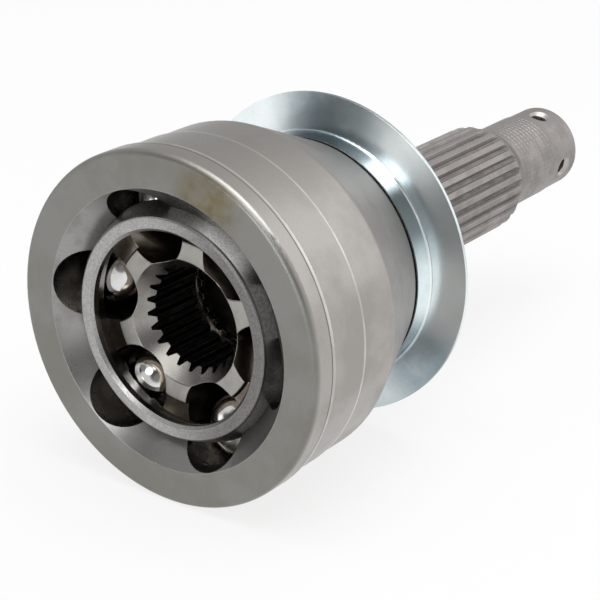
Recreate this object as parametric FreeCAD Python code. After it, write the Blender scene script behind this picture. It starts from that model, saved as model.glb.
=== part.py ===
import FreeCAD, Part
import math
import os

# Fixed constant-velocity joint of the six-ball type, wheel side.
# The outer race is a bell forged in one piece with its splined stub. Inside it
# six balls run in meridional tracks between the bell and the inner race, held
# in one plane by a windowed cage. A pressed dust shield sits behind the bell.
#
# Frame: millimetres, +Y along the stub, +Z up. The origin is on the axis in the
# plane of the shoulder that the wheel hub seats on, so the bell lies at -Y.

# --- Balls and tracks
BALL_DIAMETER = 15.875
BALL_COUNT = 6
PITCH_RADIUS = 26.0
TRACK_OFFSET = 3.0
FIRST_BALL_ANGLE = 51.0
OUTER_TRACK_CLEARANCE = 0.10
INNER_TRACK_CLEARANCE = 0.45
OUTER_TRACK_END_ANGLE = 36.0

# --- Concentric spheres of the inner race, cage and bell
RACE_SPHERE_DROP = 1.1
SPHERE_CLEARANCE = 0.05
CAGE_WALL = 3.75

# --- Cage
CAGE_HALF_WIDTH = 14.15
CAGE_OPENING_RADIUS = 21.9
CAGE_RIM_CHAMFER = 0.7
CAGE_EDGE_BREAK = 0.25
WINDOW_CLEARANCE = 0.35
WINDOW_LENGTH = 18.6
WINDOW_CORNER_RADIUS = 2.4

# --- Inner race
RACE_FRONT = 9.35
RACE_LAND_HEIGHT = 0.9
RACE_LAND_RADIUS = 18.76
RACE_REAR = 13.4
RACE_HUB_RADIUS = 18.4
RACE_REAR_CHAMFER = 1.0
RACE_EDGE_BREAK = 0.15
SHAFT_TEETH = 23
SHAFT_ROOT_RADIUS = 12.5
SHAFT_TIP_RADIUS = 11.4
SHAFT_GAP_AT_ROOT = 0.75
SHAFT_GAP_AT_TIP = 2.0
COUNTERSINK_RADIUS = 14.54
COUNTERSINK_ANGLE = 36.5
CIRCLIP_GROOVE_RADIUS = 12.9
CIRCLIP_GROOVE_WIDTH = 2.0
CIRCLIP_GROOVE_FROM_REAR = 2.4

# --- Bell
BELL_LENGTH = 60.6
MOUTH_DEPTH = 16.1
MOUTH_RADIUS = 31.8
MOUTH_CONE_ANGLE = 44.0
BELL_WALL = 4.89
LAND_HEIGHT = 1.0
BAND_HEIGHT = 0.3
LAND_LENGTH = 6.6
BAND_LENGTH = 11.8
BODY_LENGTH = 11.0
FACE_EDGE_RADIUS = 1.5
STEP_EDGE_RADIUS = 0.3
SHOULDER_EDGE_RADIUS = 2.5
SHOULDER_END_RADIUS = 29.6
CAVITY_CONE_START = 23.5
CAVITY_DEPTH = 26.8
CAVITY_END_RADIUS = 9.0

# --- Seat of the dust shield and the hub shoulder
SEAT_RADIUS = 28.98
SEAT_LENGTH = 6.9
SEAT_REAR_CHAMFER = 1.4
SHIELD_FIT = 0.02
SHIELD_SHEET = 0.8
SHIELD_GAP = 0.5
SHIELD_COLLAR_LENGTH = 5.4
SHIELD_RADIUS = 38.74
SHIELD_DISH = 0.55
SHIELD_BEND_RADIUS = 0.6

# --- Stub
JOURNAL_RADIUS = 15.0
JOURNAL_LENGTH = 18.0
JOURNAL_UNDERCUT = 0.9
JOURNAL_FILLET = 0.6
RELIEF_LENGTH = 3.0
HUB_TEETH = 26
HUB_TIP_RADIUS = 13.9
HUB_ROOT_RADIUS = 12.75
HUB_TOOTH_AT_TIP = 1.3
HUB_GAP_AT_ROOT = 0.8
SPLINE_LENGTH = 44.7
SPLINE_RUNOUT = 6.7
NUT_RADIUS = 11.0
NUT_LENGTH = 17.4
DOG_STEP = 0.2
DOG_LENGTH = 11.6
END_CHAMFER = 1.0
PIN_HOLE_DIAMETER = 4.0
PIN_SINK_DIAMETER = 6.0
PIN_HOLE_FROM_END = 6.8
PIN_HOLE_ANGLE = 77.0
PIN_HOLE_COUNT = 2

# --- Sizes that follow from the ones above
ball_radius = BALL_DIAMETER / 2
track_circle = math.hypot(PITCH_RADIUS, TRACK_OFFSET)
outer_track_radius = ball_radius + OUTER_TRACK_CLEARANCE
inner_track_radius = ball_radius + INNER_TRACK_CLEARANCE
race_sphere = PITCH_RADIUS - RACE_SPHERE_DROP
cage_inner = race_sphere + SPHERE_CLEARANCE
cage_outer = cage_inner + CAGE_WALL
bell_sphere = cage_outer + SPHERE_CLEARANCE
body_radius = track_circle + outer_track_radius + BELL_WALL
band_radius = body_radius + BAND_HEIGHT
land_radius = body_radius + LAND_HEIGHT
mouth_y = -BELL_LENGTH
centre_y = mouth_y + MOUTH_DEPTH
seat_end_y = -SEAT_REAR_CHAMFER
seat_start_y = seat_end_y - SEAT_LENGTH
spline_start_y = JOURNAL_LENGTH + RELIEF_LENGTH
spline_end_y = spline_start_y + SPLINE_LENGTH
nut_start_y = spline_end_y + SPLINE_RUNOUT
nut_end_y = nut_start_y + NUT_LENGTH
stub_end_y = nut_end_y + DOG_LENGTH
ball_step = 360.0 / BALL_COUNT

AXIS = FreeCAD.Vector(0, 1, 0)
ORIGIN = FreeCAD.Vector(0, 0, 0)
FULL_TURN = 360.0
PAST = 1.0
EDGE_SAMPLES = 7
NEAR = 0.01


def point(y, r):
    """A point of a half section, at distance r from the axis."""
    return FreeCAD.Vector(r, y, 0)


def radial(angle):
    """Unit vector away from the axis at an angle from +X towards +Z."""
    turn = math.radians(angle)
    return FreeCAD.Vector(math.cos(turn), 0, math.sin(turn))


def about_axis(shape, angle):
    """A copy of a shape turned about the axis, from +X towards +Z."""
    turned = shape.copy()
    turned.rotate(ORIGIN, AXIS, -angle)
    return turned


def outline(corners):
    """Closed face in the half section; a corner is (y, r) or (y, r, rounding)."""
    count = len(corners)
    entries = []
    exits = []
    middles = []
    for i in range(count):
        here = point(*corners[i][:2])
        before = point(*corners[i - 1][:2]) - here
        after = point(*corners[(i + 1) % count][:2]) - here
        before.normalize()
        after.normalize()
        rounding = corners[i][2] if len(corners[i]) > 2 else 0
        if not rounding:
            entries.append(here)
            exits.append(here)
            middles.append(None)
            continue
        half = before.getAngle(after) / 2
        run = rounding / math.tan(half)
        bisector = before + after
        bisector.normalize()
        entries.append(here + before * run)
        exits.append(here + after * run)
        middles.append(here + bisector * (rounding / math.sin(half) - rounding))
    edges = []
    for i in range(count):
        if middles[i] is not None:
            edges.append(Part.Arc(entries[i], middles[i], exits[i]).toShape())
        edges.append(Part.LineSegment(exits[i], entries[(i + 1) % count]).toShape())
    return Part.Face(Part.Wire(edges))


def turned(face):
    """Solid of revolution of a half section about the axis."""
    return face.revolve(ORIGIN, AXIS, FULL_TURN)


def drum(y_start, y_end, radius):
    """Cylinder on the axis."""
    return Part.makeCylinder(radius, y_end - y_start, FreeCAD.Vector(0, y_start, 0), AXIS)


def cone(y_start, radius_start, y_end, radius_end):
    """Frustum on the axis."""
    base = FreeCAD.Vector(0, y_start, 0)
    return Part.makeCone(radius_start, radius_end, y_end - y_start, base, AXIS)


def sphere_about_centre(radius):
    """Sphere about the joint centre, with its poles on the axis."""
    return Part.makeSphere(radius, FreeCAD.Vector(0, centre_y, 0), AXIS)


def toothed_bar(teeth, tip, root, tooth_at_tip, gap_at_root, y_start, y_end):
    """Straight-sided spline: a bar with tapered teeth, running along the axis."""
    pitch = 2 * math.pi / teeth
    half_tip = math.asin(tooth_at_tip / 2 / tip)
    half_root = pitch / 2 - math.asin(gap_at_root / 2 / root)
    ring = []
    for i in range(teeth):
        middle = i * pitch
        for angle, r in ((-half_root, root), (-half_tip, tip), (half_tip, tip), (half_root, root)):
            turn = middle + angle
            ring.append(FreeCAD.Vector(r * math.cos(turn), y_start, r * math.sin(turn)))
    ring.append(ring[0])
    face = Part.Face(Part.makePolygon(ring))
    return face.extrude(FreeCAD.Vector(0, y_end - y_start, 0))


def track(offset, radius, start_angle, end_angle):
    """Groove tool: a tube along a meridian arc, in the plane of +X.

    The arc's centre is on the axis, offset from the joint centre. Angles are
    measured at that centre, from the radial direction towards the stub.
    """
    hub = FreeCAD.Vector(0, centre_y + offset, 0)
    start = math.radians(start_angle)
    heading = FreeCAD.Vector(math.cos(start), math.sin(start), 0)
    along = FreeCAD.Vector(-math.sin(start), math.cos(start), 0)
    circle = Part.makeCircle(radius, hub + heading * track_circle, along)
    section = Part.Face(Part.Wire(circle))
    return section.revolve(hub, FreeCAD.Vector(0, 0, 1), end_angle - start_angle)


def edges_where(shape, test):
    """The edges of a shape whose sampled points all pass a test."""
    return [edge for edge in shape.Edges if all(test(spot) for spot in edge.discretize(EDGE_SAMPLES))]


def from_centre(spot):
    """Distance of a point from the joint centre."""
    return math.hypot(spot.x, spot.y - centre_y, spot.z)


def bell_blank():
    """Outside of the bell and stub in one turned solid."""
    land_end = mouth_y + LAND_LENGTH
    band_end = land_end + BAND_LENGTH
    body_end = band_end + BODY_LENGTH
    dog_radius = NUT_RADIUS - DOG_STEP
    return turned(outline([
        (mouth_y, 0),
        (mouth_y, land_radius, FACE_EDGE_RADIUS),
        (land_end, land_radius, STEP_EDGE_RADIUS),
        (land_end, band_radius),
        (band_end, band_radius, STEP_EDGE_RADIUS / 2),
        (band_end, body_radius),
        (body_end, body_radius, SHOULDER_EDGE_RADIUS),
        (seat_start_y, SHOULDER_END_RADIUS, STEP_EDGE_RADIUS),
        (seat_start_y, SEAT_RADIUS),
        (seat_end_y, SEAT_RADIUS),
        (0, SEAT_RADIUS - SEAT_REAR_CHAMFER),
        (0, JOURNAL_RADIUS + 2 * JOURNAL_UNDERCUT),
        (-JOURNAL_UNDERCUT, JOURNAL_RADIUS + JOURNAL_UNDERCUT),
        (-JOURNAL_UNDERCUT, JOURNAL_RADIUS, JOURNAL_FILLET),
        (JOURNAL_LENGTH, JOURNAL_RADIUS, STEP_EDGE_RADIUS),
        (JOURNAL_LENGTH, HUB_ROOT_RADIUS),
        (nut_start_y, HUB_ROOT_RADIUS),
        (nut_start_y, NUT_RADIUS),
        (nut_end_y, NUT_RADIUS),
        (nut_end_y, dog_radius),
        (stub_end_y, dog_radius, END_CHAMFER),
        (stub_end_y, 0),
    ]))


def bell_cavity():
    """Space inside the bell: mouth cone, sphere for the cage, coned end."""
    run = MOUTH_DEPTH
    slope = math.tan(math.radians(MOUTH_CONE_ANGLE))
    mouth = cone(mouth_y - PAST, MOUTH_RADIUS + PAST * slope, mouth_y + run, MOUTH_RADIUS - run * slope)
    start_radius = math.sqrt(bell_sphere ** 2 - CAVITY_CONE_START ** 2)
    end = cone(centre_y + CAVITY_CONE_START, start_radius, centre_y + CAVITY_DEPTH, CAVITY_END_RADIUS)
    sphere = sphere_about_centre(bell_sphere)
    sphere = sphere.common(drum(mouth_y - PAST - bell_sphere, centre_y + CAVITY_CONE_START, bell_sphere + PAST))
    return sphere.fuse([mouth, end])


def pin_hole(angle):
    """Countersunk hole right through the stub's end."""
    y = stub_end_y - PIN_HOLE_FROM_END
    out = radial(angle)
    reach = NUT_RADIUS - DOG_STEP
    start = out * (-reach - PAST)
    start.y = y
    hole = Part.makeCylinder(PIN_HOLE_DIAMETER / 2, 2 * (reach + PAST), start, out)
    depth = (PIN_SINK_DIAMETER - PIN_HOLE_DIAMETER) / 2
    tools = [hole]
    for side in (1, -1):
        heading = out * side
        base = heading * (reach - depth)
        base.y = y
        wide = PIN_SINK_DIAMETER / 2 + PAST
        tools.append(Part.makeCone(PIN_HOLE_DIAMETER / 2, wide, depth + PAST, base, heading))
    return tools[0].fuse(tools[1:])


def make_outer_race():
    """Bell and splined stub, one forging."""
    spline = toothed_bar(
        HUB_TEETH, HUB_TIP_RADIUS, HUB_ROOT_RADIUS, HUB_TOOTH_AT_TIP, HUB_GAP_AT_ROOT,
        spline_start_y, nut_start_y)
    envelope = turned(outline([
        (spline_start_y, 0),
        (spline_start_y, HUB_ROOT_RADIUS),
        (spline_start_y + HUB_TIP_RADIUS - HUB_ROOT_RADIUS, HUB_TIP_RADIUS),
        (spline_end_y, HUB_TIP_RADIUS),
        (nut_start_y, NUT_RADIUS),
        (nut_start_y, 0),
    ]))
    blank = bell_blank()
    root_cut = turned(outline([
        (spline_start_y, HUB_TIP_RADIUS + PAST),
        (spline_end_y, HUB_TIP_RADIUS),
        (nut_start_y, NUT_RADIUS),
        (nut_start_y, HUB_TIP_RADIUS + PAST),
    ]))
    shape = blank.cut(root_cut).fuse(spline.common(envelope))
    shape = shape.cut(bell_cavity())
    grooves = []
    end_turn = math.radians(OUTER_TRACK_END_ANGLE)
    end_centre = point(centre_y - TRACK_OFFSET + track_circle * math.sin(end_turn), track_circle * math.cos(end_turn))
    arc = track(-TRACK_OFFSET, outer_track_radius, -90, OUTER_TRACK_END_ANGLE)
    groove = arc.fuse(Part.makeSphere(outer_track_radius, end_centre))
    for i in range(BALL_COUNT):
        grooves.append(about_axis(groove, FIRST_BALL_ANGLE + i * ball_step))
    for groove in grooves:
        shape = shape.cut(groove)
    for i in range(PIN_HOLE_COUNT):
        shape = shape.cut(pin_hole(PIN_HOLE_ANGLE - i * 180.0 / PIN_HOLE_COUNT))
    return shape


def make_dust_shield():
    """Pressed sheet ring: a collar on the bell's seat, turned out to a flange."""
    bore = SEAT_RADIUS + SHIELD_FIT
    front = seat_start_y + SHIELD_GAP
    bend = front + SHIELD_COLLAR_LENGTH
    return turned(outline([
        (front, bore),
        (front, bore + SHIELD_SHEET),
        (bend, bore + SHIELD_SHEET, SHIELD_BEND_RADIUS),
        (bend + SHIELD_DISH, SHIELD_RADIUS),
        (bend + SHIELD_DISH + SHIELD_SHEET, SHIELD_RADIUS),
        (bend + SHIELD_SHEET, bore, SHIELD_BEND_RADIUS + SHIELD_SHEET / 2),
    ]))


def make_cage():
    """Ring with spherical inside and outside and one window for each ball."""
    slab = drum(centre_y - CAGE_HALF_WIDTH, centre_y + CAGE_HALF_WIDTH, cage_outer + PAST)
    shape = sphere_about_centre(cage_outer).common(slab).cut(sphere_about_centre(cage_inner))
    shape = shape.cut(drum(centre_y - cage_outer, centre_y + cage_outer, CAGE_OPENING_RADIUS))
    for side in (1, -1):
        rim = centre_y + side * CAGE_HALF_WIDTH
        wide = CAGE_OPENING_RADIUS + CAGE_RIM_CHAMFER + PAST
        reach = side * (CAGE_RIM_CHAMFER + PAST)
        base = FreeCAD.Vector(0, rim - side * CAGE_RIM_CHAMFER, 0)
        bevel = Part.makeCone(CAGE_OPENING_RADIUS, wide, abs(reach), base, AXIS * side)
        shape = shape.cut(bevel)
    width = BALL_DIAMETER + 2 * WINDOW_CLEARANCE
    corner = FreeCAD.Vector(cage_inner - CAGE_WALL * 2, centre_y - width / 2, -WINDOW_LENGTH / 2)
    window = Part.makeBox(CAGE_WALL * 4, width, WINDOW_LENGTH, corner)
    long_edges = [edge for edge in window.Edges if edge.tangentAt(edge.FirstParameter).cross(radial(0)).Length < 0.01]
    window = window.makeFillet(WINDOW_CORNER_RADIUS, long_edges)
    for i in range(BALL_COUNT):
        shape = shape.cut(about_axis(window, FIRST_BALL_ANGLE + i * ball_step))
    outer_edges = edges_where(shape, lambda spot: abs(from_centre(spot) - cage_outer) < NEAR)
    return shape.makeChamfer(CAGE_EDGE_BREAK, outer_edges)


def make_inner_race():
    """Star-shaped race: sphere with six tracks and a splined, countersunk bore."""
    front = centre_y - RACE_FRONT
    shoulder = front + RACE_LAND_HEIGHT
    rear = centre_y + RACE_REAR
    hub_y = rear - RACE_REAR_CHAMFER
    blank = turned(outline([
        (front, 0),
        (front, RACE_LAND_RADIUS),
        (shoulder, RACE_LAND_RADIUS + RACE_LAND_HEIGHT / 2),
        (shoulder, race_sphere),
        (hub_y, race_sphere),
        (hub_y, RACE_HUB_RADIUS),
        (rear, RACE_HUB_RADIUS - RACE_REAR_CHAMFER),
        (rear, 0),
    ]))
    shape = blank.common(sphere_about_centre(race_sphere))
    arc = track(TRACK_OFFSET, inner_track_radius, 0, FULL_TURN)
    for i in range(BALL_COUNT // 2):
        shape = shape.cut(about_axis(arc, FIRST_BALL_ANGLE + i * ball_step))
    shape = shape.cut(shaft_bore(front, rear))
    return shape.makeChamfer(RACE_EDGE_BREAK, edges_where(shape, lambda spot: abs(spot.y - front) < NEAR))


def shaft_bore(front, rear):
    """Bore tool: spline for the drive shaft, countersink and circlip groove."""
    bar = toothed_bar(
        SHAFT_TEETH, SHAFT_ROOT_RADIUS, SHAFT_TIP_RADIUS, SHAFT_GAP_AT_ROOT,
        2 * math.pi * SHAFT_TIP_RADIUS / SHAFT_TEETH - SHAFT_GAP_AT_TIP, front - PAST, rear + PAST)
    slope = math.tan(math.radians(COUNTERSINK_ANGLE))
    sink_depth = (COUNTERSINK_RADIUS - SHAFT_TIP_RADIUS) / slope
    sink = cone(front - PAST, COUNTERSINK_RADIUS + PAST * slope, front + sink_depth, SHAFT_TIP_RADIUS)
    groove_end = rear - CIRCLIP_GROOVE_FROM_REAR
    groove = drum(groove_end - CIRCLIP_GROOVE_WIDTH, groove_end, CIRCLIP_GROOVE_RADIUS)
    lead = SHAFT_ROOT_RADIUS - SHAFT_TIP_RADIUS
    exit_cone = cone(rear - lead, SHAFT_TIP_RADIUS, rear + PAST, SHAFT_ROOT_RADIUS + PAST)
    return bar.fuse([sink, groove, exit_cone])


def make_ball(index):
    """One ball, in the plane through the joint centre."""
    place = radial(FIRST_BALL_ANGLE + index * ball_step) * PITCH_RADIUS
    place.y = centre_y
    return Part.makeSphere(ball_radius, place)


def save(name, shape):
    """Write one node, as a single clean solid."""
    solids = shape.removeSplitter().Solids
    if len(solids) != 1 or not solids[0].isValid():
        raise ValueError(name + " is not one valid solid")
    solids[0].exportStep("parts/" + name + ".step")


def main():
    os.makedirs("parts", exist_ok=True)
    save("outer_race", make_outer_race())
    save("dust_shield", make_dust_shield())
    save("cage", make_cage())
    save("inner_race", make_inner_race())
    for index in range(BALL_COUNT):
        save("ball_" + str(index + 1), make_ball(index))


main()
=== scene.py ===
"""Looks of a fixed constant velocity joint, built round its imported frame.

The joint lies on its bell, with its stub along +Y and its mouth towards -Y.
Sizes in the finishes and pieces are in millimetres, and places in the studio
are in metres.
"""

import logging
import math
from dataclasses import dataclass, field
from enum import Enum

import bmesh
import bpy
from mathutils import Matrix, Vector


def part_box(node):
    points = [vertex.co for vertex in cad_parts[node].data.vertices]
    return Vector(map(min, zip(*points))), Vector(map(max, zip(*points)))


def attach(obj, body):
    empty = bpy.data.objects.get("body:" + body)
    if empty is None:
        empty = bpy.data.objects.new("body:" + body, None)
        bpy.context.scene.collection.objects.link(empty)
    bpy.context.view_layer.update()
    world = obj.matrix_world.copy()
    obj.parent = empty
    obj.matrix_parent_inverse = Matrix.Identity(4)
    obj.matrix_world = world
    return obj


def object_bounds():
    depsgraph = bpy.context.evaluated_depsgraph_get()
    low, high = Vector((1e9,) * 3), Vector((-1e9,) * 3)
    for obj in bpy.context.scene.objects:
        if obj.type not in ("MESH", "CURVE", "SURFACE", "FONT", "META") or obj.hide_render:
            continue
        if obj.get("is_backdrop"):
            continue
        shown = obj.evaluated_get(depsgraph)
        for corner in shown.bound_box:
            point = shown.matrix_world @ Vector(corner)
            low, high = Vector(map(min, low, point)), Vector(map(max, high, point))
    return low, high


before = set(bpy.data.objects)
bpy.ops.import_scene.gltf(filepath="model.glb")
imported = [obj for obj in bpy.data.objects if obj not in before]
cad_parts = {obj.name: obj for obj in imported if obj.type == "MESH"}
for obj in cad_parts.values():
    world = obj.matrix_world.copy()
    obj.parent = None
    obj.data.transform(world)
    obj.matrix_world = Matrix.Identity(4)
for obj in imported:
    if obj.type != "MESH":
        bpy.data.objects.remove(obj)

log = logging.getLogger("joint")

MM = 0.001
AXIS = Vector((0.0, 1.0, 0.0))
ORIGIN = Vector((0.0, 0.0, 0.0))
FULL_TURN = 2.0 * math.pi

Colour = tuple[float, float, float]
Place = tuple[float, float, float]
Socket = bpy.types.NodeSocket


def box_mm(node: str) -> tuple[Vector, Vector]:
    """Lowest and highest corner of a frame node, in millimetres.

    Args:
        node: The frame node's name.

    Returns:
        The two corners.
    """
    low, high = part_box(node)
    return low / MM, high / MM


# --------------------------------------------------------------------------
# What a finish, an edge and a spot are
# --------------------------------------------------------------------------


class Marks(Enum):
    """Which marks a tool left on a surface."""

    NONE = "none"
    TURNED = "turned"


@dataclass(frozen=True)
class Finish:
    """How one kind of steel surface looks.

    Attributes:
        colour: The clean metal's colour, linear.
        patch: Colour of the patches on it.
        patch_size: Size of the patches, in mm.
        patch_share: How far the patches cover the metal, from 0 to 1.
        roughness: Roughness of the clean metal.
        patch_roughness: Roughness inside the patches.
        grain: Height of the grain, in mm.
        grain_size: Size of the grain, in mm.
        marks: Marks of the tool that made the surface.
        mark_depth: Depth of those marks, in mm.
        mark_pitch: Distance from mark to mark, in mm.
    """

    colour: Colour
    patch: Colour
    patch_size: float = 12.0
    patch_share: float = 0.5
    roughness: float = 0.35
    patch_roughness: float = 0.42
    grain: float = 0.004
    grain_size: float = 0.35
    marks: Marks = Marks.NONE
    mark_depth: float = 0.003
    mark_pitch: float = 0.6


@dataclass(frozen=True)
class Edge:
    """How a piece's edges look.

    Attributes:
        radius: Radius of their rounding, in mm.
        worn: Colour of the worn metal, or None where the edges aren't worn.
    """

    radius: float
    worn: Colour | None = None


@dataclass(frozen=True)
class Fade:
    """Where a mask begins and where it is full, in mm from a place that is named with it.

    Attributes:
        start: Where it is still 0.
        full: Where it reaches 1.
    """

    start: float
    full: float


@dataclass(frozen=True)
class Spot:
    """A round spot on a surface that fades out towards its rim.

    Attributes:
        middle: Its middle, in mm.
        reach: How far it reaches from there, in mm.
        core: How far it is at its strongest, in mm.
    """

    middle: Place
    reach: float
    core: float


@dataclass(frozen=True)
class Gaps:
    """How noise breaks up a spot.

    Attributes:
        size: Size of the gaps, in mm.
        detail: How many finer layers the noise has.
        low: The noise up to which the spot is faintest.
        high: The noise from which it is whole.
        faintest: How much of it is left in a gap.
    """

    size: float
    detail: float
    low: float
    high: float
    faintest: float


# --------------------------------------------------------------------------
# Finishes of the forging
# --------------------------------------------------------------------------

TURNED_BELL = Finish(
    colour=(0.42, 0.402, 0.382), patch=(0.36, 0.342, 0.318), patch_size=18.0, patch_share=0.4,
    roughness=0.33, patch_roughness=0.40, grain=0.004, marks=Marks.TURNED, mark_depth=0.004,
    mark_pitch=0.7)
TURNED_FACE = Finish(
    colour=(0.255, 0.252, 0.238), patch=(0.225, 0.22, 0.195), patch_size=20.0, patch_share=0.5,
    roughness=0.36, patch_roughness=0.44, grain=0.003, marks=Marks.TURNED, mark_depth=0.004,
    mark_pitch=0.5)
OIL_STAIN = Finish(
    colour=(0.20, 0.165, 0.09), patch=(0.15, 0.118, 0.055), patch_size=5.0, patch_share=0.5,
    roughness=0.42, patch_roughness=0.5)
OILED_CONE = Finish(
    colour=(0.235, 0.231, 0.223), patch=(0.165, 0.161, 0.154), patch_size=14.0, patch_share=0.4,
    roughness=0.27, patch_roughness=0.36, grain=0.003, marks=Marks.TURNED, mark_pitch=0.6)
# Painted light: the mouth's cone, painted paler on its -X side.
PAINTED_LIGHT_CONE = Finish(
    colour=(0.34, 0.335, 0.325), patch=(0.26, 0.255, 0.246), patch_size=10.0, patch_share=0.4,
    roughness=0.27, patch_roughness=0.36, grain=0.003, marks=Marks.TURNED, mark_pitch=0.6)
OILED_CAVITY = Finish(
    colour=(0.44, 0.42, 0.395), patch=(0.21, 0.195, 0.178), patch_size=6.0, patch_share=0.5,
    roughness=0.22, patch_roughness=0.32, grain=0.002)
# Painted shade: near black deep in the cavity, where shade falls.
PAINTED_DEPTH_SHADE = Finish(
    colour=(0.03, 0.027, 0.024), patch=(0.015, 0.013, 0.011), patch_size=6.0, roughness=0.4,
    patch_roughness=0.5)
# Painted highlight: a bright line where a rounded step edge catches the light.
PAINTED_EDGE_HIGHLIGHT = Finish(
    colour=(0.64, 0.62, 0.59), patch=(0.47, 0.452, 0.43), patch_size=14.0, roughness=0.3,
    patch_roughness=0.38)
# Painted shade: a dark line beside a step edge.
PAINTED_EDGE_SHADE = Finish(
    colour=(0.22, 0.21, 0.195), patch=(0.18, 0.17, 0.155), patch_size=5.0, roughness=0.4,
    patch_roughness=0.46)
FORGED_SHOULDER = Finish(
    colour=(0.40, 0.385, 0.372), patch=(0.33, 0.316, 0.303), patch_size=18.0, patch_share=0.4,
    roughness=0.46, patch_roughness=0.5)
BLASTED_STUB = Finish(
    colour=(0.36, 0.336, 0.325), patch=(0.30, 0.279, 0.268), patch_size=6.0, patch_share=0.5,
    roughness=0.5, patch_roughness=0.6, grain=0.010, grain_size=0.5)
# Painted highlight: the pin holes' walls, painted lighter as their glint.
PAINTED_HOLE_GLINT = Finish(
    colour=(0.50, 0.48, 0.465), patch=(0.42, 0.402, 0.39), patch_size=3.0, roughness=0.4,
    patch_roughness=0.46)
# Painted shade: the roots between the stub's teeth, painted darker.
PAINTED_ROOT_SHADE = Finish(
    colour=(0.26, 0.24, 0.23), patch=(0.21, 0.193, 0.183), patch_size=4.0, roughness=0.6,
    patch_roughness=0.7, grain=0.01)
FORGING_EDGE = Edge(radius=0.22, worn=(0.5, 0.49, 0.47))

# --------------------------------------------------------------------------
# Finishes of the shield
# --------------------------------------------------------------------------

BRUSHED_ZINC = Finish(
    colour=(0.68, 0.745, 0.765), patch=(0.60, 0.665, 0.69), patch_size=14.0, patch_share=0.4,
    roughness=0.17, patch_roughness=0.22, grain=0.001, marks=Marks.TURNED, mark_depth=0.001,
    mark_pitch=0.5)
# Painted reflection: darker zinc at the shield's dark reflection sectors.
PAINTED_DARK_REFLECTION = Finish(
    colour=(0.36, 0.435, 0.47), patch=(0.30, 0.37, 0.41), patch_size=10.0, roughness=0.2,
    patch_roughness=0.26, grain=0.001)
# Painted reflection: paler zinc at its bright reflection sectors.
PAINTED_BRIGHT_REFLECTION = Finish(
    colour=(0.93, 0.985, 0.99), patch=(0.86, 0.93, 0.95), patch_size=14.0, roughness=0.17,
    patch_roughness=0.22, grain=0.001)
# Painted shade: a black line at the collar's front, where it meets the bell.
PAINTED_GAP_SHADE = Finish(
    colour=(0.05, 0.05, 0.05), patch=(0.03, 0.03, 0.03), roughness=0.5, patch_roughness=0.6)
SHIELD_EDGE = Edge(radius=0.1, worn=(0.84, 0.9, 0.92))

# --------------------------------------------------------------------------
# Finishes of the cage
# --------------------------------------------------------------------------

WINDOW_WALL = Finish(
    colour=(0.20, 0.19, 0.18), patch=(0.11, 0.102, 0.095), patch_size=6.0, roughness=0.25,
    patch_roughness=0.35, grain=0.003)
CAGE_INSIDE = Finish(
    colour=(0.30, 0.29, 0.275), patch=(0.20, 0.192, 0.18), patch_size=8.0, roughness=0.24,
    patch_roughness=0.32, grain=0.003, marks=Marks.TURNED)
CAGE_OUTSIDE = Finish(
    colour=(0.38, 0.376, 0.372), patch=(0.25, 0.246, 0.242), patch_size=0.6, patch_share=0.5,
    roughness=0.34, patch_roughness=0.44, grain=0.007, grain_size=0.25)
# Painted highlight: near white on the cage's outer sphere at its upper right.
PAINTED_CAGE_HIGHLIGHT = Finish(
    colour=(0.99, 0.985, 0.98), patch=(0.82, 0.815, 0.81), patch_size=0.5, patch_share=0.4,
    roughness=0.74, patch_roughness=0.8, grain=0.006, grain_size=0.25)
GROUND_RIM = Finish(
    colour=(0.46, 0.455, 0.445), patch=(0.32, 0.315, 0.306), patch_size=0.35, patch_share=0.5,
    roughness=0.3, patch_roughness=0.4, grain=0.006, grain_size=0.2)
# Painted shade: the cage's rim, painted darker on its +X side.
PAINTED_RIM_SHADE = Finish(
    colour=(0.22, 0.217, 0.212), patch=(0.15, 0.147, 0.142), patch_size=0.35, patch_share=0.5,
    roughness=0.3, patch_roughness=0.4, grain=0.006, grain_size=0.2)
CAGE_EDGE = Edge(radius=0.18, worn=(0.55, 0.545, 0.53))

# --------------------------------------------------------------------------
# Finishes of the inner race and the balls
# --------------------------------------------------------------------------

OILED_TRACK = Finish(
    colour=(0.26, 0.225, 0.19), patch=(0.13, 0.105, 0.085), patch_size=6.0, patch_share=0.5,
    roughness=0.16, patch_roughness=0.24, grain=0.001)
GROUND_LAND = Finish(
    colour=(0.375, 0.363, 0.34), patch=(0.33, 0.32, 0.298), patch_size=3.0, roughness=0.38,
    patch_roughness=0.44, grain=0.003, grain_size=0.25)
GROUND_SPHERE = Finish(
    colour=(0.28, 0.272, 0.255), patch=(0.18, 0.172, 0.16), patch_size=5.0, roughness=0.24,
    patch_roughness=0.3, grain=0.002)
COUNTERSINK = Finish(
    colour=(0.33, 0.318, 0.30), patch=(0.27, 0.258, 0.24), patch_size=8.0, roughness=0.24,
    patch_roughness=0.30, grain=0.002, marks=Marks.TURNED, mark_depth=0.002)
BLACK_BORE = Finish(
    colour=(0.028, 0.025, 0.022), patch=(0.014, 0.012, 0.010), patch_size=3.0, roughness=0.32,
    patch_roughness=0.45, grain=0.004)
# Painted highlight: the circlip groove's edge, lighter where it is lit.
PAINTED_CLIP_EDGE_HIGHLIGHT = Finish(
    colour=(0.20, 0.198, 0.193), patch=(0.05, 0.048, 0.045), patch_size=1.5, roughness=0.25,
    patch_roughness=0.35)
RACE_EDGE = Edge(radius=0.15, worn=(0.5, 0.49, 0.46))
POLISHED_BALL = Finish(
    colour=(0.72, 0.72, 0.71), patch=(0.60, 0.585, 0.56), patch_size=5.0, patch_share=0.35,
    roughness=0.035, patch_roughness=0.08, grain=0.0)
BALL_EDGE = Edge(radius=0.05)


# --------------------------------------------------------------------------
# Node trees
# --------------------------------------------------------------------------


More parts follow.
